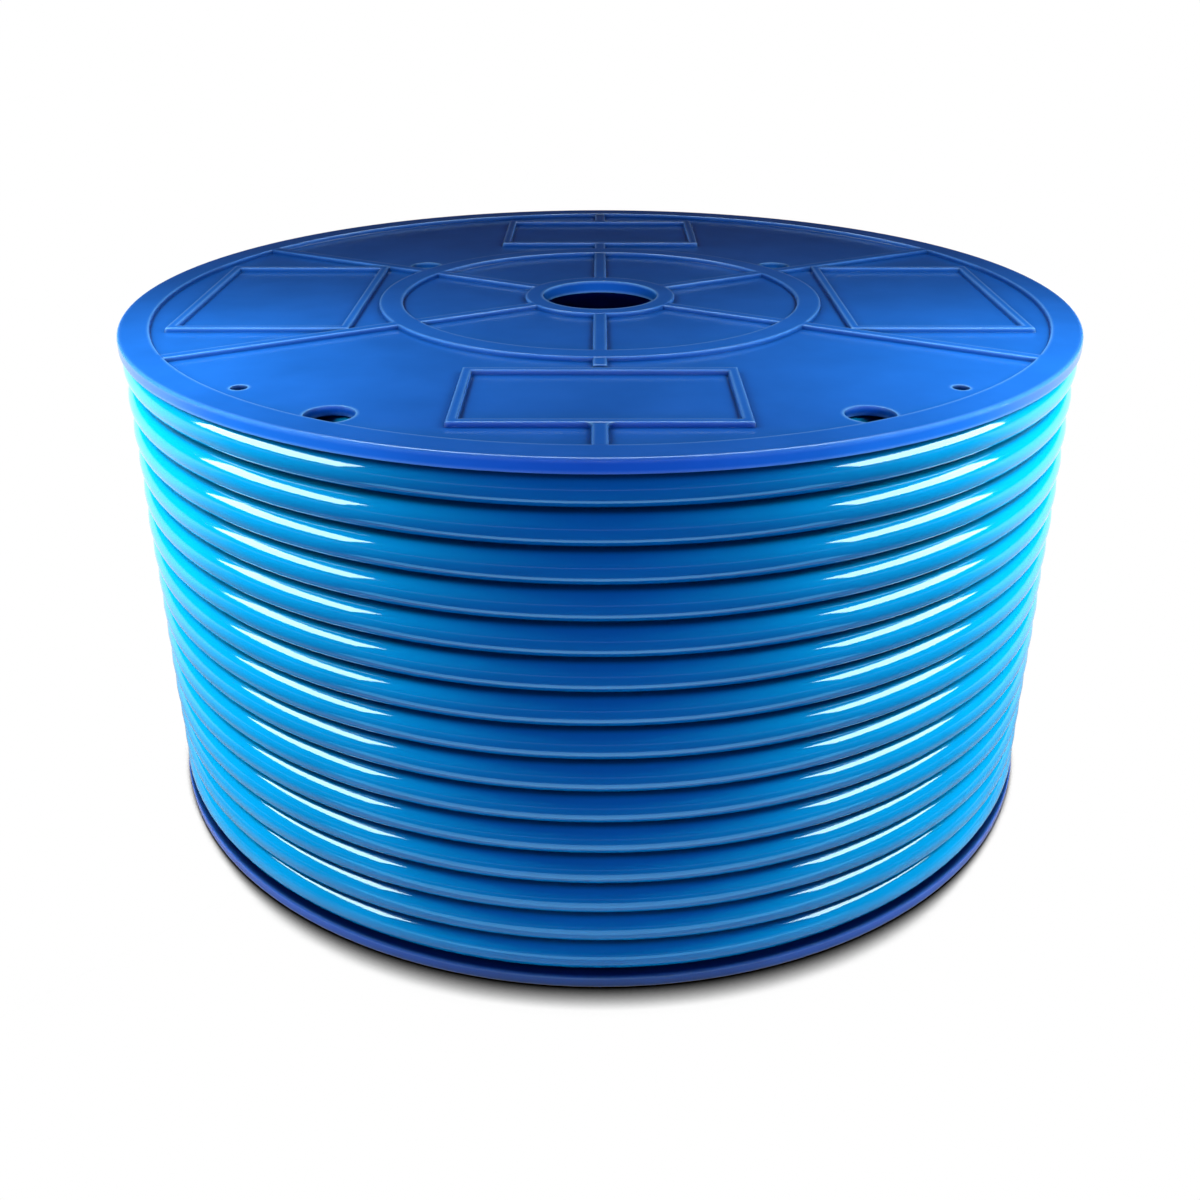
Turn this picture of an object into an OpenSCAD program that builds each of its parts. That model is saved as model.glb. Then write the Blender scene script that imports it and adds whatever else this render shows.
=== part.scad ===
// Reel of round plastic tubing: two ribbed flanges snapped onto a barrel, wound full.
// The reel stands on its lower flange, with the spindle bore along +Z.

/* [Tubing] */
// Outer diameter of the tubing
tube_od = 10; // [8:0.5:12]
// Turns of tubing side by side between the flanges
turns = 15; // [8:1:18]
// Slack left beside each turn
turn_slack = 0.05; // [0.02:0.01:0.1]
// Arc at the back of the reel over which each turn steps up to the next, in degrees
step_arc = 60; // [45:15:90]
// Arc left free between a tube end and the stepping zone, in degrees
end_arc = 15; // [15:15:30]

/* [Barrel] */
// Outer diameter of the barrel
barrel_d = 144; // [120:1:180]
// Wall of the barrel
barrel_wall = 3; // [2.6:0.1:5]

/* [Flanges] */
// Diameter of each flange
flange_d = 306; // [300:1:330]
// Thickness over the ribs
flange_t = 4; // [3.6:0.1:6]
// Thickness of the flange panel between the ribs
panel_t = 2.6; // [2:0.1:3]
// How far the winding stays inside the edge of the flange
winding_margin = 0.6; // [0.5:0.1:6]
// Rounding of the flange edge on its outer face
edge_round = 0.9; // [0.4:0.1:1.2]
// Rounding of the flange edge on its winding face
edge_round_in = 0.6; // [0.3:0.1:1]

/* [Flange ribs] */
// Width of the raised rim
rim_w = 9.7; // [7:0.1:12]
// Width of the raised ring behind the barrel's end
seat_ring_w = 8; // [6:0.1:10]
// How far that ring reaches outside the barrel
seat_ring_over = 1; // [0.5:0.1:2]
// Width of the raised hub ring round the bore
hub_ring_w = 6; // [4:0.1:9]
// Width of the spokes and radial ribs at their foot
rib_w = 4.4; // [3:0.1:6]
// Slope of a rib's flank, measured across
rib_draft = 0.2; // [0.1:0.05:0.3]
// Chamfer along the top edges of the ribs
rib_edge = 0.25; // [0.1:0.05:0.4]
// How much lower the spokes and radial ribs are than the rings and frames
rib_drop = 0.08; // [0.04:0.02:0.2]
// Number of spokes between the hub ring and the seat ring
spokes = 6; // [4:1:8]
// Gap between the front stub rib and the label frame beside it
stub_gap = 2; // [1:0.1:3]
// Radius of the fillets where a stub rib meets a label frame
stub_fillet = 1.6; // [0.8:0.1:2]

/* [Label frames] */
// Width of the frame ribs at their foot
frame_rib_w = 3.2; // [2.4:0.1:4]
// Opening of the front and back frames along the rim
end_frame_l = 70; // [60:1:80]
// Opening of the front and back frames towards the rim
end_frame_w = 39.5; // [34:0.5:42]
// Distance from the reel's axis to the middle of the front and back frames
end_frame_at = 105.2; // [104:0.1:108]
// Opening of the side frames along the rim
side_frame_l = 78; // [70:1:80]
// Opening of the side frames towards the rim
side_frame_w = 50; // [44:0.5:51]
// Distance from the reel's axis to the middle of the side frames
side_frame_at = 104.5; // [104:0.1:106]

/* [Holes] */
// Diameter of the spindle bore
bore_d = 38; // [25:1:50]
// Diameter of the tail holes beside the rim
tail_hole_d = 13.2; // [12:0.1:16]
// Gap between the tail holes and the foot of the rim
tail_hole_gap = 0.5; // [0.3:0.1:2]
// Angle of the tail holes from the front stub rib, in degrees
tail_hole_angle = 30; // [26:1:34]
// Diameter of the tie holes beside the rim
tie_hole_d = 4.6; // [3:0.1:6]
// Angle of the tie holes from the front stub rib, in degrees
tie_hole_angle = 45; // [42:1:48]
// Room round the tubing in the inner tail holes beside the barrel
inner_hole_room = 0.3; // [0.2:0.1:1]
// Gap between the barrel and the inner tail holes
inner_hole_gap = 3.2; // [2.8:0.1:4]
// Angle of the inner tail holes from the side axis, in degrees
inner_hole_angle = 37.5; // [36:0.5:42]

/* [Snap collar] */
// Number of snap tongues on each flange
tongues = 6; // [4:1:8]
// Arc of one tongue, in degrees
tongue_arc = 36; // [20:1:40]
// Thickness of a tongue
tongue_t = 2.4; // [1.6:0.1:3]
// How far a tongue reaches into the barrel
tongue_h = 11; // [9:0.5:16]
// Height of the snap bead on a tongue
bead = 0.8; // [0.4:0.1:1]
// Distance from the flange to the snap bead
bead_at = 7; // [5:0.5:7]
// Radial clearance between a tongue and the barrel
snap_clearance = 0.2; // [0.1:0.05:0.4]

/* [Hidden] */
$fn = 96;

// Derived sizes of the reel
flange_r = flange_d / 2;
barrel_r = barrel_d / 2;
barrel_in_r = barrel_r - barrel_wall;
bore_r = bore_d / 2;
turn_pitch = tube_od + turn_slack;
winding_w = turns * turn_pitch;
reel_h = winding_w + 2 * flange_t;

// Derived sizes of the flange face
rib_h = flange_t - panel_t;
rib_sink = panel_t / 2;
rim_in_r = flange_r - rim_w;
seat_out_r = barrel_r + seat_ring_over;
seat_in_r = seat_out_r - seat_ring_w;
hub_r = bore_r + hub_ring_w;
spoke_step = 360 / spokes;
front = -90;
back = 90;
radial_rib_angles = [30, 150, 210, 330];
rim_lap = 2;
tail_hole_at = rim_in_r - tail_hole_gap - tail_hole_d / 2;
inner_hole_r = tube_od / 2 + inner_hole_room;
inner_hole_at = barrel_r + inner_hole_gap + inner_hole_r;
cut_over = 1;

// Derived sizes of the winding. The section is a hexagon of the round tube's area,
// with its flats towards the neighbouring turns.
section_sides = 6;
section_r = tube_od / 2 * sqrt(2 * PI / (3 * sqrt(3)));
rings_per_turn = 24;
ring_step = 360 / rings_per_turn;
coil_r = flange_r - winding_margin - tube_od / 2;
layer_clearance = 0.1;
core_r = (coil_r - section_r) * cos(ring_step / 2) - layer_clearance;
coil_start = back + step_arc / 2 + end_arc;
coil_sweep = 360 * turns - step_arc - 2 * end_arc;
level_arc = 360 - step_arc;

// Points of a circular arc, for the rounded corners of a section
function arc_points(centre, radius, from, to, steps = 5) =
    [for (i = [0:steps]) let (a = from + (to - from) * i / steps)
        centre + radius * [cos(a), sin(a)]];

// Half section of a raised ring on the panel, from its inner foot to its outer foot
function ring_outline(in_r, out_r) = [
    [in_r, panel_t],
    [in_r + rib_draft, flange_t - rib_edge],
    [in_r + rib_draft + rib_edge, flange_t],
    [out_r - rib_draft - rib_edge, flange_t],
    [out_r - rib_draft, flange_t - rib_edge],
    [out_r, panel_t]];

// Half section of the whole flange disc, hub ring, seat ring and rim included
function flange_outline() = concat(
    [[bore_r, 0]],
    [[bore_r, flange_t]],
    [for (i = [3:5]) ring_outline(bore_r, hub_r)[i]],
    ring_outline(seat_in_r, seat_out_r),
    [for (i = [0:2]) ring_outline(rim_in_r, flange_r)[i]],
    arc_points([flange_r - edge_round, flange_t - edge_round], edge_round, 90, 0),
    arc_points([flange_r - edge_round_in, edge_round_in], edge_round_in, 0, -90));

// Solid through stacked rectangles, each level being [height, half length, half width]
module lofted_block(levels) {
    top = 4 * (len(levels) - 1);
    corners = [[-1, -1], [1, -1], [1, 1], [-1, 1]];
    points = [for (level = levels, c = corners) [c.x * level[1], c.y * level[2], level[0]]];
    walls = [for (k = [0:len(levels) - 2], i = [0:3]) let (j = (i + 1) % 4)
        [4 * k + i, 4 * k + 4 + i, 4 * k + 4 + j, 4 * k + j]];
    polyhedron(points, concat([[0, 1, 2, 3]], walls, [[top + 3, top + 2, top + 1, top]]));
}

// Raised block on the panel with sloped flanks and a chamfered top, given by its foot
module raised_block(length, width, drop = 0) {
    l = length / 2;
    w = width / 2;
    in = rib_draft + rib_edge;
    lofted_block([
        [panel_t - rib_sink - drop, l, w],
        [panel_t, l, w],
        [flange_t - rib_edge - drop, l - rib_draft, w - rib_draft],
        [flange_t - drop, l - in, w - in]]);
}

// Rib along a radius from one distance to another, a little lower than the rings it joins
module radial_rib(from, to, angle) {
    rotate([0, 0, angle]) translate([(from + to) / 2, 0, 0])
        raised_block(to - from, rib_w, rib_drop);
}

// Room inside a label frame, widening towards the outer face
module frame_room(length, width) {
    l = length / 2;
    w = width / 2;
    in = rib_draft + rib_edge;
    lofted_block([
        [panel_t, l, w],
        [flange_t - rib_edge, l + rib_draft, w + rib_draft],
        [flange_t, l + in, w + in],
        [flange_t + cut_over, l + in, w + in]]);
}

// Label frame at a distance from the axis; width runs along the radius
module label_frame(length, width, at, angle) {
    rotate([0, 0, angle]) translate([at, 0, 0]) difference() {
        raised_block(width + 2 * frame_rib_w, length + 2 * frame_rib_w);
        frame_room(width, length);
    }
}

// Concave fillet on each side of a stub rib where it leaves a label frame
module stub_fillets(at, angle) {
    side = rib_w / 2 - rib_draft;
    rotate([0, 0, angle]) for (s = [-1, 1])
        translate([at, s * side, panel_t - rib_sink]) on_side(s)
            linear_extrude(rib_sink + rib_h - rib_drop)
            difference() {
                translate([-rib_draft * 2, -rib_draft]) square([stub_fillet + rib_draft * 2,
                    stub_fillet + rib_draft]);
                translate([stub_fillet, stub_fillet]) circle(stub_fillet, $fn = 48);
            }
}

// Turns a shape over to the other side of the X axis where side is -1
module on_side(side) {
    mirror([0, side < 0 ? 1 : 0, 0]) children();
}

// Snap tongues that stand on the winding face and hold the barrel
module snap_collar() {
    out_r = barrel_in_r - snap_clearance;
    in_r = out_r - tongue_t;
    lead = tongue_t / 3;
    for (k = [0:tongues - 1])
        rotate([0, 0, k * 360 / tongues - tongue_arc / 2]) rotate_extrude(angle = tongue_arc)
            polygon([
                [in_r, rib_sink],
                [in_r, -tongue_h],
                [out_r - lead, -tongue_h],
                [out_r, -tongue_h + lead],
                [out_r, -bead_at - bead],
                [out_r + bead, -bead_at],
                [out_r, -bead_at + bead],
                [out_r, rib_sink]]);
}

// One flange moulding: winding face at z = 0, ribbed face upwards, front stub towards -Y
module flange() {
    end_foot = end_frame_w / 2 + frame_rib_w;
    difference() {
        union() {
            rotate_extrude($fn = 180) polygon(flange_outline());
            for (k = [0:spokes - 1])
                radial_rib(hub_r - rim_lap, seat_in_r + rim_lap, front + k * spoke_step);
            for (a = radial_rib_angles)
                radial_rib(seat_out_r - rim_lap, rim_in_r + rim_lap, a);
            radial_rib(seat_out_r - rim_lap, end_frame_at - end_foot - stub_gap, front);
            radial_rib(seat_out_r - rim_lap, end_frame_at - end_foot + rim_lap, back);
            for (a = [front, back]) {
                radial_rib(end_frame_at + end_foot - rim_lap, rim_in_r + rim_lap, a);
                stub_fillets(end_frame_at + end_foot - rib_draft, a);
                label_frame(end_frame_l, end_frame_w, end_frame_at, a);
            }
            for (a = [0, 180])
                label_frame(side_frame_l, side_frame_w, side_frame_at, a);
            snap_collar();
        }
        for (s = [-1, 1]) {
            flange_hole(tail_hole_d / 2, tail_hole_at, front + s * tail_hole_angle);
            flange_hole(tie_hole_d / 2, tail_hole_at, front + s * tie_hole_angle);
            flange_hole(inner_hole_r, inner_hole_at, back - s * (90 - inner_hole_angle));
        }
    }
}

// Round hole through the flange at a distance and an angle from its middle
module flange_hole(radius, at, angle) {
    rotate([0, 0, angle]) translate([at, 0, -cut_over])
        cylinder(r = radius, h = flange_t + 2 * cut_over);
}

// Upper flange, ribbed face up
module top_flange() {
    color("royalblue") translate([0, 0, reel_h - flange_t]) flange();
}

// Lower flange: the same moulding turned over
module bottom_flange() {
    color("royalblue") translate([0, 0, flange_t]) rotate([180, 0, 0]) flange();
}

// Barrel tube with a snap groove near each end
module barrel() {
    groove = bead + snap_clearance;
    groove_at = [bead_at, winding_w - bead_at];
    color("cornflowerblue") translate([0, 0, flange_t]) rotate_extrude($fn = 180)
        polygon([
            [barrel_r, 0],
            [barrel_r, winding_w],
            [barrel_in_r, winding_w],
            [barrel_in_r, groove_at[1] + groove],
            [barrel_in_r + groove - snap_clearance, groove_at[1]],
            [barrel_in_r, groove_at[1] - groove],
            [barrel_in_r, groove_at[0] + groove],
            [barrel_in_r + groove - snap_clearance, groove_at[0]],
            [barrel_in_r, groove_at[0] - groove],
            [barrel_in_r, 0]]);
}

// Body of the layers under the outer one
module inner_layers() {
    color("deepskyblue") translate([0, 0, flange_t]) difference() {
        cylinder(r = core_r, h = winding_w, $fn = 180);
        translate([0, 0, -cut_over]) cylinder(r = barrel_r, h = winding_w + 2 * cut_over, $fn = 180);
    }
}

// How many turns the tube has climbed after an angle: level, then an eased step at the back
function climbed(angle) =
    let (turn = floor(angle / 360), rest = max(0, angle - 360 * turn - level_arc) / step_arc)
    turn + rest * rest * (3 - 2 * rest);

function coil_point(angle) = let (a = coil_start + angle)
    [coil_r * cos(a), coil_r * sin(a), flange_t + turn_pitch * (0.5 + climbed(angle + end_arc))];

// Corner k of the section at a centre point, in the upright plane along the radius at angle a
function section_point(centre, a, k) = let (b = k * 360 / section_sides)
    centre + section_r * [cos(b) * cos(a), cos(b) * sin(a), sin(b)];

function section_ring(centre, a) = [for (k = [0:section_sides - 1]) section_point(centre, a, k)];

coil_angles = [for (i = [0:coil_sweep / ring_step]) i * ring_step];
start_dir = [sin(coil_start), -cos(coil_start), 0];
end_angle = coil_start + coil_sweep;
end_dir = [-sin(end_angle), cos(end_angle), 0];

// Rings of the whole tube: a straight end, the coil, and the other straight end
coil_rings = concat(
    [section_ring(coil_point(0) + tube_od * start_dir, coil_start)],
    [for (a = coil_angles) section_ring(coil_point(a), coil_start + a)],
    [section_ring(coil_point(coil_sweep) + tube_od * end_dir, end_angle)]);

function tube_faces(rings, sides) =
    let (last = (rings - 1) * sides)
    concat(
        [for (k = [1:sides - 2]) [0, k, k + 1]],
        [for (k = [1:sides - 2]) [last, last + k + 1, last + k]],
        [for (i = [0:rings - 2], k = [0:sides - 1]) let (a = i * sides + k,
            b = i * sides + (k + 1) % sides) each [[a, b + sides, b], [a, a + sides, b + sides]]]);

// Outer layer: one tube that lies level round the front and steps up at the back
module outer_layer() {
    color("deepskyblue")
        polyhedron([for (ring = coil_rings) each ring], tube_faces(len(coil_rings), section_sides));
}

// Distance from point p to the segment from a to b
function segment_gap(p, a, b) = let (d = b - a, t = max(0, min(1, (p - a) * d / (d * d))))
    norm(p - a - t * d);

// Least distance from the corners of one ring to the edges along the tube beside another
function ring_gap(ring, from, to) = min([for (p = ring, k = [0:section_sides - 1])
    segment_gap(p, from[k], to[k])]);

// Least gap between the tube and itself one turn on, from either side
least_gap = min([for (i = [0:len(coil_rings) - rings_per_turn], j = [-3:1])
    let (n = i + rings_per_turn + j) if (n >= 0 && n + 1 < len(coil_rings))
    min(ring_gap(coil_rings[i], coil_rings[n], coil_rings[n + 1]),
        i + 1 < len(coil_rings) ? ring_gap(coil_rings[n], coil_rings[i], coil_rings[i + 1]) : 99)]);
echo(least_gap_mm = least_gap);

top_flange();
bottom_flange();
barrel();
inner_layers();
outer_layer();
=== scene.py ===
"""Dresses a reel of round plastic tubing: moulded flanges and barrel, and the wound tubing."""

import math

import bpy
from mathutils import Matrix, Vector


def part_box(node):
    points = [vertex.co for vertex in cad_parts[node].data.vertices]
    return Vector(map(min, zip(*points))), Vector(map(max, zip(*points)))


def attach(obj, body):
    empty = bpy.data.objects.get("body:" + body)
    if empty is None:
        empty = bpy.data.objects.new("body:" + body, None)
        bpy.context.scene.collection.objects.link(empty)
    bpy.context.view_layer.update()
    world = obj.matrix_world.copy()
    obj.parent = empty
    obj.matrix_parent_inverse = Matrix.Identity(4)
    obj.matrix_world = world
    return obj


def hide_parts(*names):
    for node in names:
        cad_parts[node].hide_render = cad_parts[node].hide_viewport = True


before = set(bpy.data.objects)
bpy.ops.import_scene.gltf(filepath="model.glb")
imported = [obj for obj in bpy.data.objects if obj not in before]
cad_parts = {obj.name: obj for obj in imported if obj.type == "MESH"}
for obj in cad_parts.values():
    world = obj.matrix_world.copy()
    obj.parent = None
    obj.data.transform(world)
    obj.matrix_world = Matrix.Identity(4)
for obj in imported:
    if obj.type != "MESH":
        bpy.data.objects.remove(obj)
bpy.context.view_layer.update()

bl_info = {
    "name": "Tubing reel",
    "version": (1, 0, 0),
    "blender": (4, 5, 0),
    "location": "View3D > Sidebar > Tubing reel",
    "description": "Moulded plastic reel wound full with glossy polyurethane tubing",
    "category": "Object",
}

MM = 0.001

# Places read from the frame, in metres
BARREL_LOW, BARREL_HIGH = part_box("barrel")
BARREL_R = BARREL_HIGH.x
FLANGE_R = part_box("top_flange")[1].x

# How finely the winding is drawn: rings of points in a turn, points round the tube, and the rings
# for which the bore is open at a cut end
OUTER_RINGS, OUTER_SIDES, OUTER_BORE_RINGS = 120, 24, 6
LOWER_RINGS, LOWER_SIDES, LOWER_BORE_RINGS = 72, 16, 2
# Steps round the core, and flat sides of each half-round crest on it
CORE_STEPS, CREST_SIDES = 144, 10
# Arc over which the tubing rises from the layer below to the outer one
DIVE_ARC = math.radians(40)
# A ring this share of the wall in from the skin keeps the edge of a cut end crisp
MOUTH_SHARE = 0.12
# The most that the tubing lies off its true radius, in a slow and in a quicker wave
SLOW_WAVER, QUICK_WAVER = 0.10 * MM, 0.05 * MM

# The stage, in metres: half the floor's side, and each lamp as its place, the point that it faces,
# and its size. Lamps in pairs are given for the side at +X or the end at +Y.
FLOOR_HALF = 6.0
SOFTBOX = ((0.29, -0.165, 0.24), (0, -0.11, 0.12), (0.22, 0.095))
KEY = ((1.5, 0.05, 0.06), (0, 0, 0.10), (0.5, 0.3))
NEAR = ((0.32, -0.09, 0.24), (0, 0, 0.12), (0.12, 0.12))
POOL = ((0.145, -0.09, 0.26), (0.145, -0.09, 0), (0.1, 0.1))
FILL = ((0, 0.27, 0.004), (0, 0.27, 1), (0.36, 0.16))
LEVEL = ((0, 0.60, 0.26), (0, 0, 0.09), (0.8, 0.05))
STRIP = ((0, 0.19, 0.003), (0, 0.19, 1), (0.36, 0.05))
RAKE = ((0, -0.50, 0.22), (0, 0, 0.155), (0.3, 0.04))
TOP_SOFTBOX = ((0, 0.50, 1.0), (0, 0, 0.15), (0.9, 0.3))
# The lower flange gets this share of the key lamps' power
FOOT_SHARE = 0.2

# Colours of the lamps: the mirrored softboxes, those at the sides, those before and behind, and
# the level ones and mirrored strips that only the tubing gets
SOFTBOX_COLOUR = "E0FFFA"
SIDE_COLOUR = "D8FFC8"
FRONT_COLOUR = "E4F4FF"
LEVEL_COLOUR = "C0CEFF"
STRIP_COLOUR = "80DCFF"

# The width of the camera's sensor in millimetres, and its frame's shift upwards in frame widths
SENSOR_WIDTH = 36
FRAME_SHIFT = -0.0188


def linear(hex_text):
    """Turns an sRGB hex colour such as 1E5FB4 into linear red, green, blue and alpha."""
    parts = [int(hex_text[i:i + 2], 16) / 255 for i in (0, 2, 4)]
    return [p / 12.92 if p <= 0.04045 else ((p + 0.055) / 1.055) ** 2.4 for p in parts] + [1.0]


def add_node(tree, kind, settings=None, inputs=None):
    """Adds a node. settings are its properties, inputs the values or output sockets that feed it.

    A socket is named, or numbered where names repeat: a Mix node takes numbers at 2 and 3 and
    colours at 6 and 7.
    """
    made = tree.nodes.new(kind)
    for name, value in (settings or {}).items():
        setattr(made, name, value)
    for name, value in (inputs or {}).items():
        if isinstance(value, bpy.types.NodeSocket):
            tree.links.new(value, made.inputs[name])
        else:
            made.inputs[name].default_value = value
    return made


def shade(colour, share):
    """A linear colour at a share of its strength, such as 0.8, with full alpha."""
    return [min(1.0, c * share) for c in colour[:3]] + [1.0]


def new_material(name):
    """Makes an empty node material and returns it with its node tree."""
    material = bpy.data.materials.new(name)
    material.use_nodes = True
    material.node_tree.nodes.clear()
    return material, material.node_tree


# ---------------------------------------------------------------- settings


class ReelSettings(bpy.types.PropertyGroup):
    """Sizes and colours of the moulded reel."""

    colour: bpy.props.FloatVectorProperty(
        name="Colour", description="Body colour of the moulded plastic",
        subtype="COLOR", size=4, min=0, max=1, default=linear("1451C9"))
    grain: bpy.props.FloatProperty(
        name="Grain", description="Size of the mould's fine texture",
        default=0.9 * MM, min=0.1 * MM, unit="LENGTH")
    edge_radius: bpy.props.FloatProperty(
        name="Edge radius", description="Rounding of the moulded edges",
        default=0.45 * MM, min=0.0, unit="LENGTH")


class TubingSettings(bpy.types.PropertyGroup):
    """Sizes and colours of the wound tube."""

    colour: bpy.props.FloatVectorProperty(
        name="Colour", description="Body colour of the tubing",
        subtype="COLOR", size=4, min=0, max=1, default=linear("006CBC"))
    outer_d: bpy.props.FloatProperty(
        name="Outer diameter", description="Outer diameter of the tubing",
        default=10 * MM, min=4 * MM, unit="LENGTH")
    bore_d: bpy.props.FloatProperty(
        name="Bore", description="Inner diameter of the tubing",
        default=6.5 * MM, min=2 * MM, unit="LENGTH")
    turns: bpy.props.IntProperty(
        name="Turns", description="Turns side by side in one layer", default=15, min=2)
    layers: bpy.props.IntProperty(
        name="Layers", description="Layers from the barrel outwards", default=8, min=2)
    margin: bpy.props.FloatProperty(
        name="Margin", description="How far the winding stays inside the flange's edge",
        default=0.6 * MM, min=0.0, unit="LENGTH")
    step_arc: bpy.props.FloatProperty(
        name="Step arc", description="Arc at the back over which each turn steps to the next",
        default=math.radians(60), min=0.1, subtype="ANGLE")
    end_arc: bpy.props.FloatProperty(
        name="End arc", description="Arc between the stepping zone and a tube end",
        default=math.radians(15), min=0.0, subtype="ANGLE")


class StageSettings(bpy.types.PropertyGroup):
    """Camera, lamps and floor."""

    camera_back: bpy.props.FloatProperty(
        name="Camera distance", description="Distance from the reel's axis to the camera",
        default=0.4252, unit="LENGTH")
    camera_height: bpy.props.FloatProperty(
        name="Camera height", description="Height of the camera above the floor",
        default=0.2629, unit="LENGTH")
    camera_tilt: bpy.props.FloatProperty(
        name="Camera tilt", description="How far the camera looks down",
        default=0.4577, subtype="ANGLE")
    focal_length: bpy.props.FloatProperty(
        name="Focal length", description="Focal length of the lens in millimetres",
        default=38.43, min=10, unit="CAMERA")
    softbox_power: bpy.props.FloatProperty(
        name="Softbox power", description="Power of each softbox mirrored in the tubing, in watts",
        default=1.2, min=0, unit="POWER")
    key_power: bpy.props.FloatProperty(
        name="Key power", description="Power of each far lamp on the upper flange, in watts",
        default=125, min=0, unit="POWER")
    side_power: bpy.props.FloatProperty(
        name="Side power", description="Power of each near lamp at the tubing's side, in watts",
        default=3.5, min=0, unit="POWER")
    pool_power: bpy.props.FloatProperty(
        name="Pool power", description="Power of each small lamp over the upper flange, in watts",
        default=0.52, min=0, unit="POWER")
    fill_power: bpy.props.FloatProperty(
        name="Fill power", description="Power of each lamp on the floor, in watts",
        default=0.08, min=0, unit="POWER")
    front_power: bpy.props.FloatProperty(
        name="Front power", description="Power of the level lamp before the tubing, in watts",
        default=1.45, min=0, unit="POWER")
    back_power: bpy.props.FloatProperty(
        name="Back power", description="Power of the level lamp behind the tubing, in watts",
        default=4.0, min=0, unit="POWER")
    strip_power: bpy.props.FloatProperty(
        name="Strip power", description="Power of each strip mirrored under the turns, in watts",
        default=0.15, min=0, unit="POWER")
    rake_power: bpy.props.FloatProperty(
        name="Rake power", description="Power of the low lamp on the upper flange, in watts",
        default=1.0, min=0, unit="POWER")
    top_power: bpy.props.FloatProperty(
        name="Top power", description="Power of the mirrored softbox over the reel, in watts",
        default=12, min=0, unit="POWER")


# ---------------------------------------------------------------- meshes


def mesh_object(name, points, faces, uv=None):
    """Makes a smooth-shaded mesh object; uv lists a place for each corner of each face."""
    mesh = bpy.data.meshes.new(name)
    mesh.from_pydata(points, [], faces)
    mesh.update()
    mesh.shade_smooth()
    if uv:
        layer = mesh.uv_layers.new(name="tube_mm")
        for loop, place in zip(layer.data, uv):
            loop.uv = place
    obj = bpy.data.objects.new(name, mesh)
    bpy.context.scene.collection.objects.link(obj)
    return obj


def sweep(path, profile):
    """Rings of points round a path; each ring lies in the plane of its radius and the vertical."""
    rings = []
    for centre, angle in path:
        out = Vector((math.cos(angle), math.sin(angle), 0))
        rings.append([centre + out * r + Vector((0, 0, z)) for r, z in profile])
    return rings


def circle(radius, sides):
    """Points of an upright circle as distances outwards and upwards."""
    step = 2 * math.pi / sides
    return [(radius * math.cos(k * step), radius * math.sin(k * step)) for k in range(sides)]


# ---------------------------------------------------------------- the winding


def eased(part):
    """A part from 0 to 1 that starts and stops gently."""
    return part * part * (3 - 2 * part)


def climbed(angle, step_arc):
    """Turns that the tube has climbed after an angle: level, then an eased step at the back."""
    turn, rest = divmod(angle, 2 * math.pi)
    return turn + eased(max(0.0, rest - (2 * math.pi - step_arc)) / step_arc)


class Winding:
    """Sizes of the wound layers, worked out from the settings and the frame."""

    def __init__(self, settings):
        self.tube_r = settings.outer_d / 2
        self.turns = settings.turns
        self.floor = BARREL_LOW.z
        self.width = BARREL_HIGH.z - BARREL_LOW.z
        self.pitch = self.width / self.turns
        self.outer_r = FLANGE_R - settings.margin - self.tube_r
        self.first_r = BARREL_R + self.tube_r
        self.layer_step = (self.outer_r - self.first_r) / (settings.layers - 1)
        self.step_arc = settings.step_arc
        self.end_arc = settings.end_arc
        self.layers = settings.layers
        # A turn steps up over step_arc round the back, at +Y
        self.level_start = math.pi / 2 + self.step_arc / 2

    def height(self, turns_up):
        """Height of the centre line after climbing some turns."""
        return self.floor + self.pitch * (0.5 + turns_up)

    def place(self, angle, radius, turns_up):
        """A point of the tube's centre line and the angle of its ring."""
        x, y = radius * math.cos(angle), radius * math.sin(angle)
        return Vector((x, y, self.height(turns_up))), angle


def wound_waver(angle, turn_height):
    """How far the tube lies off its true radius, in metres: a winding is never quite even."""
    slow = math.sin(2.0 * angle + 1.3 * turn_height)
    quick = math.sin(5.0 * angle - 2.1 * turn_height + 0.7)
    return SLOW_WAVER * slow + QUICK_WAVER * quick


def outer_path(winding, rings_per_turn):
    """Centre line of the outer layer, from the layer below, up all the turns, to the cut end."""
    step = 2 * math.pi / rings_per_turn
    start = winding.end_arc
    stop = 2 * math.pi * winding.turns - winding.step_arc - winding.end_arc
    path = []
    count = round(DIVE_ARC / step)
    for i in range(count):
        radius = winding.outer_r - winding.layer_step * (1 - eased(i / count))
        path.append(winding.place(winding.level_start + start - (count - i) * step, radius, 0))
    for i in range(round((stop - start) / step) + 1):
        angle = start + i * step
        up = climbed(angle, winding.step_arc)
        radius = winding.outer_r + wound_waver(angle, up)
        path.append(winding.place(winding.level_start + angle, radius, up))
    return path


def lower_path(winding, rings_per_turn):
    """Centre line of the layer below, which winds down and meets the outer layer's start."""
    step = 2 * math.pi / rings_per_turn
    sweep_angle = 2 * math.pi * winding.turns - winding.step_arc + winding.end_arc
    top = winding.turns - 1
    radius = winding.outer_r - winding.layer_step
    path = []
    for i in range(round(sweep_angle / step) + 1):
        angle = i * step
        up = max(0.0, top - climbed(angle, winding.step_arc))
        path.append(winding.place(winding.level_start + angle, radius, up))
    return path


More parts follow.
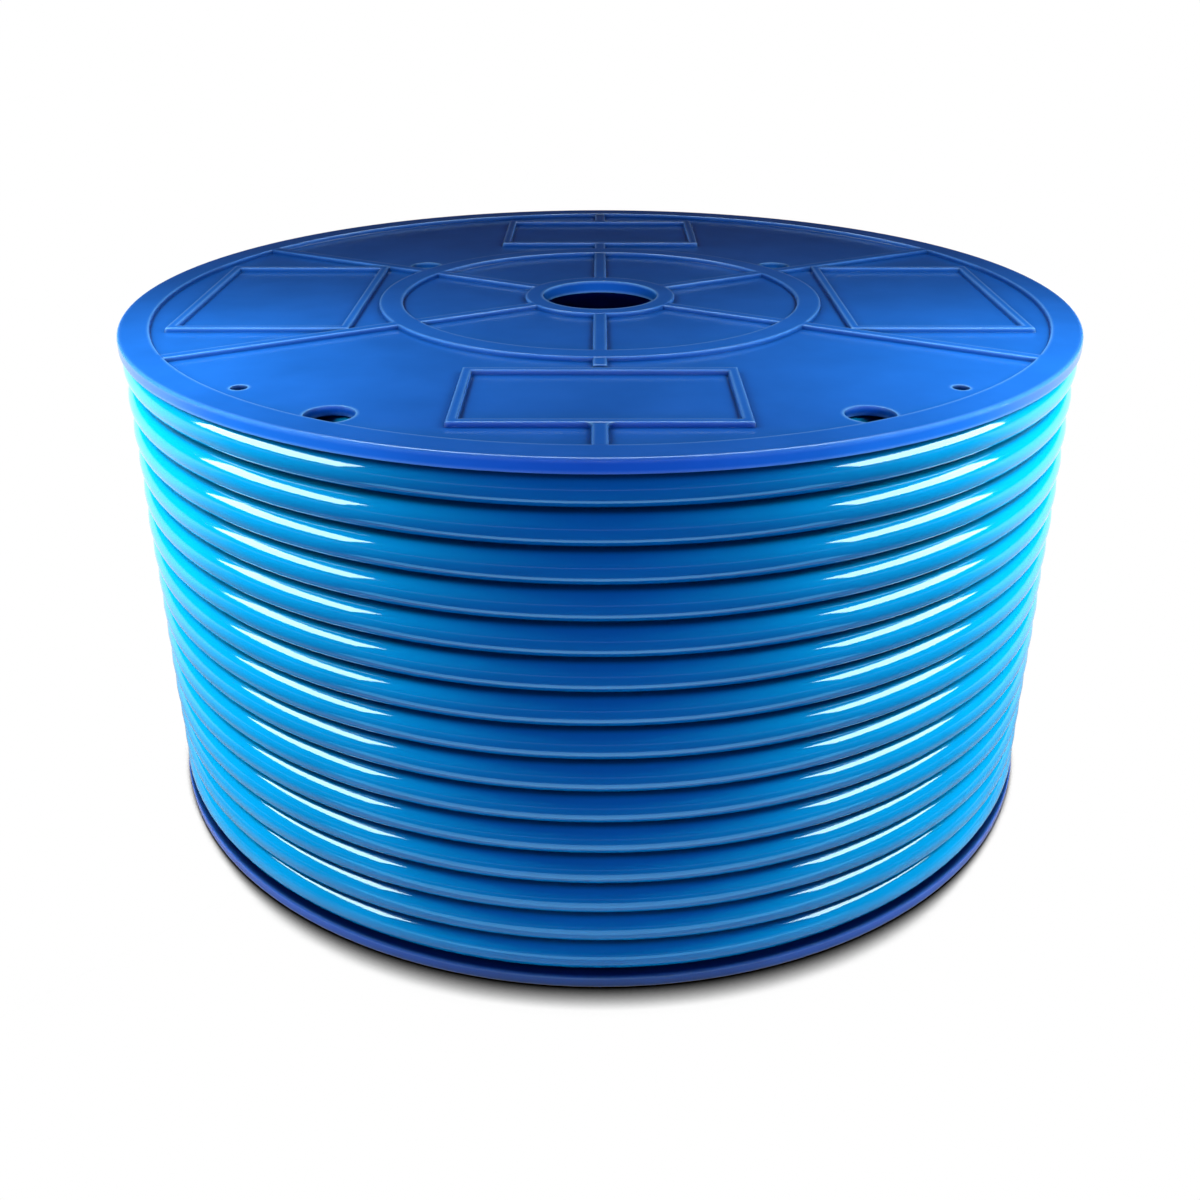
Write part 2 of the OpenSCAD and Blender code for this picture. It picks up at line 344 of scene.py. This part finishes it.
def hollow_tube(name, path, outer_r, bore_r, sides, bore_depth):
    """A tube along a path, with its bore open for a few rings at each end."""
    skin = sweep(path, circle(outer_r, sides))
    depth = min(bore_depth, len(path) // 2 - 1)
    first_bore = sweep(path[:depth + 1], circle(bore_r, sides))
    last_bore = sweep(path[-depth - 1:], circle(bore_r, sides))
    lengths = [0.0]
    for (a, _), (b, _) in zip(path, path[1:]):
        lengths.append(lengths[-1] + (b - a).length)
    # From the closed inner end of the first bore, out over its mouth, along the skin, and back in
    mouth_in = [a.lerp(b, MOUTH_SHARE) for a, b in zip(skin[0], first_bore[0])]
    mouth_out = [a.lerp(b, MOUTH_SHARE) for a, b in zip(skin[-1], last_bore[-1])]
    rings = first_bore[::-1] + [mouth_in] + skin + [mouth_out] + last_bore[::-1]
    along = (lengths[:depth + 1][::-1] + [0.0] + lengths + [lengths[-1]]
             + lengths[-depth - 1:][::-1])
    points = [point for ring in rings for point in ring]
    # The UV map holds real millimetres along the tube and round it
    side = 2 * math.pi * outer_r / sides / MM
    faces, uv = [], []
    for i in range(len(rings) - 1):
        a, b = i * sides, (i + 1) * sides
        low, high = along[i] / MM, along[i + 1] / MM
        for k in range(sides):
            j = (k + 1) % sides
            faces.append((a + k, b + k, b + j, a + j))
            uv.extend([(low, k * side), (high, k * side), (high, (k + 1) * side),
                       (low, (k + 1) * side)])
    last = (len(rings) - 1) * sides
    for cap in (range(sides), range(last + sides - 1, last - 1, -1)):
        faces.append(tuple(cap))
        uv.extend([(0.0, 0.0)] * sides)
    return mesh_object(name, points, faces, uv)


def ridged_core(name, winding, steps, ridge_sides):
    """The layers under the two outer ones, with a half-round crest for each layer at both ends."""
    low, high = winding.floor, winding.floor + winding.width
    outline = [(BARREL_R, low + winding.tube_r), (BARREL_R, high - winding.tube_r)]
    crest_r = winding.layer_step / 2
    crests = [winding.first_r + winding.layer_step * k for k in range(winding.layers - 2)]
    arc = [math.pi * (1 - k / ridge_sides) for k in range(ridge_sides + 1)]
    for at in crests:
        outline += [(at + crest_r * math.cos(a), high - winding.tube_r * (1 - math.sin(a)))
                    for a in arc[1:]]
    for at in reversed(crests):
        outline += [(at + crest_r * math.cos(a), low + winding.tube_r * (1 - math.sin(a)))
                    for a in reversed(arc[:-1])]
    points, faces = [], []
    count = len(outline)
    for i in range(steps):
        angle = 2 * math.pi * i / steps
        points += [(r * math.cos(angle), r * math.sin(angle), z) for r, z in outline]
    for i in range(steps):
        a, b = i * count, (i + 1) % steps * count
        for k in range(count):
            j = (k + 1) % count
            faces.append((a + k, a + j, b + j, b + k))
    return mesh_object(name, points, faces)


# ---------------------------------------------------------------- materials


def moulded_polypropylene(settings):
    """Polypropylene, injection moulded: satin skin, faint flow marks, painted edge highlights and
    corner shade.
    """
    material, tree = new_material("polypropylene_injection_moulded_blue")
    place = add_node(tree, "ShaderNodeTexCoord").outputs["Object"]
    # Flow marks are some 25 mm long
    flow = add_node(tree, "ShaderNodeTexNoise", None,
                    {"Vector": place, "Scale": 1 / (25 * MM), "Detail": 3.0, "Roughness": 0.55})
    # The mould's spark-eroded grain, drawn coarser than the real 0.05 mm so that it shows
    grain = add_node(tree, "ShaderNodeTexNoise", None,
                     {"Vector": place, "Scale": 1 / settings.grain, "Detail": 4.0,
                      "Roughness": 0.6})
    body = add_node(tree, "ShaderNodeMix", {"data_type": "RGBA"},
                    {0: flow.outputs["Fac"], 6: shade(settings.colour, 0.80),
                     7: shade(settings.colour, 1.14)})
    # Painted highlight: edges go pale over half a millimetre or so, as if they caught the light,
    # and painted shade keeps the corners at the ribs' feet dark
    edge = add_node(tree, "ShaderNodeAmbientOcclusion",
                    {"samples": 8, "inside": True, "only_local": True}, {"Distance": 1.2 * MM})
    painted_edge_highlight = add_node(tree, "ShaderNodeMapRange", None,
                      {"Value": edge.outputs["AO"], "From Min": 0.95, "From Max": 0.55,
                       "To Min": 0.0, "To Max": 0.45})
    # The painted highlight blends the body towards a pale blue
    pale = add_node(tree, "ShaderNodeMix", {"data_type": "RGBA"},
                    {0: painted_edge_highlight.outputs["Result"], 6: body.outputs[2], 7: linear("80A8FF")})
    # Painted shade in the corners at the ribs' feet, over some 4 mm
    corner = add_node(tree, "ShaderNodeAmbientOcclusion", {"samples": 8}, {"Distance": 4 * MM})
    painted_corner_shade = add_node(tree, "ShaderNodeMapRange", None,
                         {"Value": corner.outputs["AO"], "From Min": 0.55, "From Max": 0.95,
                          "To Min": 0.45, "To Max": 1.0})
    tone = add_node(tree, "ShaderNodeMix", {"data_type": "RGBA", "blend_type": "MULTIPLY"},
                    {0: 1.0, 6: pale.outputs[2], 7: painted_corner_shade.outputs["Result"]})
    gloss = add_node(tree, "ShaderNodeMapRange", None,
                     {"Value": flow.outputs["Fac"], "To Min": 0.16, "To Max": 0.24})
    soft_edge = add_node(tree, "ShaderNodeBevel", {"samples": 6}, {"Radius": settings.edge_radius})
    skin = add_node(tree, "ShaderNodeBump", None,
                    {"Height": grain.outputs["Fac"], "Strength": 0.15, "Distance": 0.05 * MM,
                     "Normal": soft_edge.outputs["Normal"]})
    shader = add_node(tree, "ShaderNodeBsdfPrincipled", None,
                      {"Base Color": tone.outputs[2], "Roughness": gloss.outputs["Result"],
                       "IOR": 1.49, "Normal": skin.outputs["Normal"]})
    add_node(tree, "ShaderNodeOutputMaterial", None, {"Surface": shader.outputs["BSDF"]})
    return material


def extruded_polyurethane(settings):
    """Polyurethane, extruded: a wet gloss over a deep colour, faint die lines, painted shade in
    the grooves.
    """
    material, tree = new_material("polyurethane_extruded_blue")
    place = add_node(tree, "ShaderNodeTexCoord").outputs["Object"]
    # Slow swells in wall and shine, some 30 mm long
    swell = add_node(tree, "ShaderNodeTexNoise", None,
                     {"Vector": place, "Scale": 1 / (30 * MM), "Detail": 1.0})
    # Die lines run along the tube for hundreds of millimetres, about 1.5 mm apart round it
    tube_place = add_node(tree, "ShaderNodeUVMap", {"uv_map": "tube_mm"}).outputs["UV"]
    lines_place = add_node(tree, "ShaderNodeMapping", None,
                           {"Vector": tube_place, "Scale": (1 / 300, 1 / 1.5, 1.0)})
    lines = add_node(tree, "ShaderNodeTexNoise", None,
                     {"Vector": lines_place.outputs["Vector"], "Scale": 1.0, "Detail": 1.0})
    body = add_node(tree, "ShaderNodeMix", {"data_type": "RGBA"},
                    {0: swell.outputs["Fac"], 6: shade(settings.colour, 0.88),
                     7: shade(settings.colour, 1.08)})
    # Painted shade in the groove between turns: the last 2 mm or so before two turns touch stay
    # dark
    groove = add_node(tree, "ShaderNodeAmbientOcclusion", {"samples": 8}, {"Distance": 3 * MM})
    painted_groove_shade = add_node(tree, "ShaderNodeMapRange", None,
                         {"Value": groove.outputs["AO"], "From Min": 0.45, "From Max": 0.80,
                          "To Min": 0.25, "To Max": 1.0})
    tone = add_node(tree, "ShaderNodeMix", {"data_type": "RGBA", "blend_type": "MULTIPLY"},
                    {0: 1.0, 6: body.outputs[2], 7: painted_groove_shade.outputs["Result"]})
    gloss = add_node(tree, "ShaderNodeMapRange", None,
                     {"Value": lines.outputs["Fac"], "To Min": 0.02, "To Max": 0.09})
    skin = add_node(tree, "ShaderNodeBump", None,
                    {"Height": swell.outputs["Fac"], "Strength": 0.3, "Distance": 0.5 * MM})
    shader = add_node(tree, "ShaderNodeBsdfPrincipled", None,
                      {"Base Color": tone.outputs[2], "Roughness": gloss.outputs["Result"],
                       "IOR": 1.5, "Normal": skin.outputs["Normal"]})
    add_node(tree, "ShaderNodeOutputMaterial", None, {"Surface": shader.outputs["BSDF"]})
    return material


def tubing_material(settings):
    """The tubing's material, made once."""
    made = bpy.data.materials.get("polyurethane_extruded_blue")
    return made or extruded_polyurethane(settings)


def white_sweep():
    """Matt white paper: white where it is seen, but for a painted shadow close to the reel."""
    material, tree = new_material("matt_white_paper")
    ray = add_node(tree, "ShaderNodeLightPath")
    # Painted shadow: the reel's foot shades a strip of the paper some 12 mm wide
    open_sky = add_node(tree, "ShaderNodeAmbientOcclusion", {"samples": 24}, {"Distance": 12 * MM})
    place = add_node(tree, "ShaderNodeTexCoord").outputs["Object"]
    depth = add_node(tree, "ShaderNodeSeparateXYZ", None, {0: place})
    # The painted strip is drawn narrower towards the back, as lamps at the sides would make it
    reach = add_node(tree, "ShaderNodeMapRange", {"interpolation_type": "SMOOTHSTEP"},
                     {"Value": depth.outputs["Y"], "From Min": -0.165, "From Max": -0.07,
                      "To Min": 0.95, "To Max": 0.58})
    painted_shadow_lightness = add_node(tree, "ShaderNodeMapRange", None,
                         {"Value": open_sky.outputs["AO"], "From Min": 0.5,
                          "From Max": reach.outputs["Result"]})
    # The power makes the shadow dark at the foot and lets it fade out gently
    seen = add_node(tree, "ShaderNodeMath", {"operation": "POWER"},
                    {0: painted_shadow_lightness.outputs["Result"], 1: 2.3})
    mirrored = add_node(tree, "ShaderNodeMath", {"operation": "MAXIMUM"},
                        {0: ray.outputs["Is Glossy Ray"], 1: ray.outputs["Is Transmission Ray"]})
    # To the reel, the paper is bright round its foot and behind it, and dark in front
    away = add_node(tree, "ShaderNodeVectorMath", {"operation": "LENGTH"}, {0: place})
    foot = add_node(tree, "ShaderNodeMapRange", {"interpolation_type": "SMOOTHSTEP"},
                    {"Value": away.outputs["Value"], "From Min": 0.18, "From Max": 0.25,
                     "To Min": 0.5, "To Max": 0.05})
    rear = add_node(tree, "ShaderNodeMapRange", {"interpolation_type": "SMOOTHSTEP"},
                    {"Value": depth.outputs["Y"], "From Min": -0.15, "From Max": 0.15,
                     "To Min": 0.05, "To Max": 1.0})
    image = add_node(tree, "ShaderNodeMath", {"operation": "MAXIMUM"},
                     {0: foot.outputs["Result"], 1: rear.outputs["Result"]})
    paper = add_node(tree, "ShaderNodeBsdfDiffuse", None, {"Color": foot.outputs["Result"]})
    image_glow = add_node(tree, "ShaderNodeEmission", None, {"Strength": image.outputs[0]})
    # Camera rays see the paper white, darkened by the painted shadow
    white = add_node(tree, "ShaderNodeEmission", None, {"Strength": seen.outputs[0]})
    lit = add_node(tree, "ShaderNodeMixShader", None,
                   {0: mirrored.outputs[0], 1: paper.outputs[0], 2: image_glow.outputs[0]})
    either = add_node(tree, "ShaderNodeMixShader", None,
                      {0: ray.outputs["Is Camera Ray"], 1: lit.outputs[0], 2: white.outputs[0]})
    add_node(tree, "ShaderNodeOutputMaterial", None, {"Surface": either.outputs[0]})
    return material


def set_material(obj, material):
    """Gives an object one material in place of what it has."""
    obj.data.materials.clear()
    obj.data.materials.append(material)


# ---------------------------------------------------------------- operators


class REEL_OT_mouldings(bpy.types.Operator):
    """Gives both flanges and the barrel their moulded plastic."""

    bl_idname = "reel.mouldings"
    bl_label = "Flanges and barrel"

    def execute(self, context):
        material = moulded_polypropylene(context.scene.reel)
        for name in ("top_flange", "bottom_flange", "barrel"):
            set_material(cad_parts[name], material)
        return {"FINISHED"}


class REEL_OT_outer_layer(bpy.types.Operator):
    """Winds the outer layer as one round tube, open at its cut end."""

    bl_idname = "reel.outer_layer"
    bl_label = "Outer layer"

    def execute(self, context):
        settings = context.scene.tubing
        winding = Winding(settings)
        tube = hollow_tube("outer_tube", outer_path(winding, OUTER_RINGS), winding.tube_r,
                           settings.bore_d / 2, OUTER_SIDES, OUTER_BORE_RINGS)
        set_material(tube, tubing_material(settings))
        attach(tube, "root")
        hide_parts("outer_layer")
        return {"FINISHED"}


class REEL_OT_inner_layers(bpy.types.Operator):
    """Winds the layer below as a tube round a core with the crests of the deeper layers."""

    bl_idname = "reel.inner_layers"
    bl_label = "Inner layers"

    def execute(self, context):
        settings = context.scene.tubing
        winding = Winding(settings)
        lower = hollow_tube("lower_tube", lower_path(winding, LOWER_RINGS), winding.tube_r,
                            settings.bore_d / 2, LOWER_SIDES, LOWER_BORE_RINGS)
        core = ridged_core("layer_core", winding, CORE_STEPS, CREST_SIDES)
        for piece in (lower, core):
            set_material(piece, tubing_material(settings))
            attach(piece, "root")
        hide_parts("inner_layers")
        return {"FINISHED"}


def area_lamp(name, form, power, colour, mirrored=False, way=(1, 1)):
    """A rectangular lamp that isn't seen itself: it only lights, or it only makes mirror images.

    form is its place, the point that it faces, and its size. way turns it to the other side of the
    reel, or from its back to its front.
    """
    at, aim, size = form
    at, aim = [Vector((p[0] * way[0], p[1] * way[1], p[2])) for p in (at, aim)]
    light = bpy.data.lights.new(name, "AREA")
    light.shape = "RECTANGLE"
    light.size, light.size_y = size
    light.energy = power
    light.color = linear(colour)[:3]
    lamp = bpy.data.objects.new(name, light)
    lamp.location = at
    lamp.rotation_euler = (aim - at).to_track_quat("-Z", "Y").to_euler()
    lamp.visible_camera = False
    lamp.visible_glossy = mirrored
    lamp.visible_diffuse = not mirrored
    bpy.context.scene.collection.objects.link(lamp)
    return lamp


def flag(lamp, state, *pieces):
    """Keeps a lamp off some pieces (EXCLUDE) or on them alone (INCLUDE), as a studio flag does."""
    flagged = bpy.data.collections.new(lamp.name + "_flag")
    for piece in pieces:
        flagged.objects.link(piece)
    lamp.light_linking.receiver_collection = flagged
    for entry in flagged.collection_objects:
        entry.light_linking.link_state = state


class REEL_OT_stage(bpy.types.Operator):
    """Sets up the floor, the lamps, the white surroundings and the camera."""

    bl_idname = "reel.stage"
    bl_label = "Stage"

    def execute(self, context):
        scene = context.scene
        settings = scene.stage
        edge = FLOOR_HALF
        floor = mesh_object("floor_sheet", [(-edge, -edge, 0), (edge, -edge, 0), (edge, edge, 0),
                                            (-edge, edge, 0)], [(0, 1, 2, 3)])
        set_material(floor, white_sweep())
        upper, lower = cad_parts["top_flange"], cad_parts["bottom_flange"]
        for side, name in ((-1, "left"), (1, "right")):
            self.side_lamps(name, (side, 1), settings, upper, lower)
        for end, name, level_power in ((-1, "front", settings.front_power),
                                       (1, "back", settings.back_power)):
            self.end_lamps(name, (1, end), settings, level_power, upper, lower)
        rake = area_lamp("front_rake", RAKE, settings.rake_power, FRONT_COLOUR)
        flag(rake, "INCLUDE", upper)
        area_lamp("top_softbox", TOP_SOFTBOX, settings.top_power, SOFTBOX_COLOUR, True)
        self.white_world(scene)
        self.camera(scene, settings)
        scene.view_settings.view_transform = "Standard"
        return {"FINISHED"}

    def side_lamps(self, name, way, settings, upper, lower):
        """The lamps at one side: a mirrored softbox, and lamps for the flanges and the tubing."""
        box = area_lamp(name + "_softbox", SOFTBOX, settings.softbox_power, SOFTBOX_COLOUR, True,
                        way)
        flag(box, "EXCLUDE", upper, lower)
        key = area_lamp(name + "_key", KEY, settings.key_power, SIDE_COLOUR, way=way)
        flag(key, "INCLUDE", upper)
        foot = area_lamp(name + "_foot", KEY, settings.key_power * FOOT_SHARE, FRONT_COLOUR,
                         way=way)
        flag(foot, "INCLUDE", lower)
        near = area_lamp(name + "_near", NEAR, settings.side_power, SIDE_COLOUR, way=way)
        flag(near, "EXCLUDE", upper, lower)
        area_lamp(name + "_pool", POOL, settings.pool_power, SIDE_COLOUR, way=way)

    def end_lamps(self, name, way, settings, level_power, upper, lower):
        """The lamps before or behind the reel: on the floor, level, and a mirrored strip."""
        fill = area_lamp(name + "_fill", FILL, settings.fill_power, FRONT_COLOUR, way=way)
        flag(fill, "EXCLUDE", upper)
        level = area_lamp(name + "_level", LEVEL, level_power, LEVEL_COLOUR, way=way)
        flag(level, "EXCLUDE", upper, lower)
        strip = area_lamp(name + "_strip", STRIP, settings.strip_power, STRIP_COLOUR, True, way)
        flag(strip, "EXCLUDE", upper, lower)

    def white_world(self, scene):
        """White where it is seen, with a bright low band and a dark ceiling in mirror images."""
        world = bpy.data.worlds.new("white_studio")
        world.use_nodes = True
        tree = world.node_tree
        tree.nodes.clear()
        ray = add_node(tree, "ShaderNodeLightPath")
        way = add_node(tree, "ShaderNodeNewGeometry")
        height = add_node(tree, "ShaderNodeSeparateXYZ", None, {0: way.outputs["Position"]})
        # In mirror images the white ends a few degrees above the horizon
        band = add_node(tree, "ShaderNodeMapRange", {"interpolation_type": "SMOOTHSTEP"},
                        {"Value": height.outputs["Z"], "From Min": 0.0, "From Max": 0.08,
                         "To Min": 1.0, "To Max": 0.04})
        mirrored = add_node(tree, "ShaderNodeMath", {"operation": "MAXIMUM"},
                            {0: ray.outputs["Is Glossy Ray"],
                             1: ray.outputs["Is Transmission Ray"]})
        # The world adds only a faint cool light of its own to the reel
        indirect = add_node(tree, "ShaderNodeMix", {"data_type": "FLOAT"},
                            {0: mirrored.outputs[0], 2: 0.09, 3: band.outputs["Result"]})
        strength = add_node(tree, "ShaderNodeMix", {"data_type": "FLOAT"},
                            {0: ray.outputs["Is Camera Ray"], 2: indirect.outputs[0], 3: 1.0})
        tint = add_node(tree, "ShaderNodeMix", {"data_type": "RGBA"},
                        {0: ray.outputs["Is Camera Ray"], 6: linear("D4DCFF"),
                         7: linear("FFFFFF")})
        glow = add_node(tree, "ShaderNodeBackground", None,
                        {"Color": tint.outputs[2], "Strength": strength.outputs[0]})
        add_node(tree, "ShaderNodeOutputWorld", None, {"Surface": glow.outputs[0]})
        scene.world = world

    def camera(self, scene, settings):
        """Looks down on the reel from straight in front of it."""
        lens = bpy.data.cameras.new("camera")
        lens.sensor_width = SENSOR_WIDTH
        lens.lens = settings.focal_length
        lens.shift_y = FRAME_SHIFT
        camera = bpy.data.objects.new("camera", lens)
        camera.location = (0, -settings.camera_back, settings.camera_height)
        camera.rotation_euler = (math.pi / 2 - settings.camera_tilt, 0, 0)
        scene.collection.objects.link(camera)
        scene.camera = camera


class REEL_PT_panel(bpy.types.Panel):
    """Lists the reel's pieces and settings in the 3D view's sidebar."""

    bl_idname = "REEL_PT_panel"
    bl_label = "Tubing reel"
    bl_space_type = "VIEW_3D"
    bl_region_type = "UI"
    bl_category = "Tubing reel"

    def draw(self, context):
        for operator in OPERATORS:
            self.layout.operator(operator.bl_idname)
        for group in (context.scene.reel, context.scene.tubing, context.scene.stage):
            box = self.layout.box()
            for name in group.bl_rna.properties.keys():
                if name not in ("rna_type", "name"):
                    box.prop(group, name)


OPERATORS = (REEL_OT_mouldings, REEL_OT_outer_layer, REEL_OT_inner_layers, REEL_OT_stage)
CLASSES = (ReelSettings, TubingSettings, StageSettings) + OPERATORS + (REEL_PT_panel,)


def register():
    for made in CLASSES:
        bpy.utils.register_class(made)
    bpy.types.Scene.reel = bpy.props.PointerProperty(type=ReelSettings)
    bpy.types.Scene.tubing = bpy.props.PointerProperty(type=TubingSettings)
    bpy.types.Scene.stage = bpy.props.PointerProperty(type=StageSettings)


def unregister():
    del bpy.types.Scene.stage
    del bpy.types.Scene.tubing
    del bpy.types.Scene.reel
    for made in reversed(CLASSES):
        bpy.utils.unregister_class(made)


def main():
    """Builds every piece in order."""
    register()
    bpy.ops.reel.stage()
    bpy.ops.reel.mouldings()
    bpy.ops.reel.outer_layer()
    bpy.ops.reel.inner_layers()


if __name__ == "__main__":
    main()
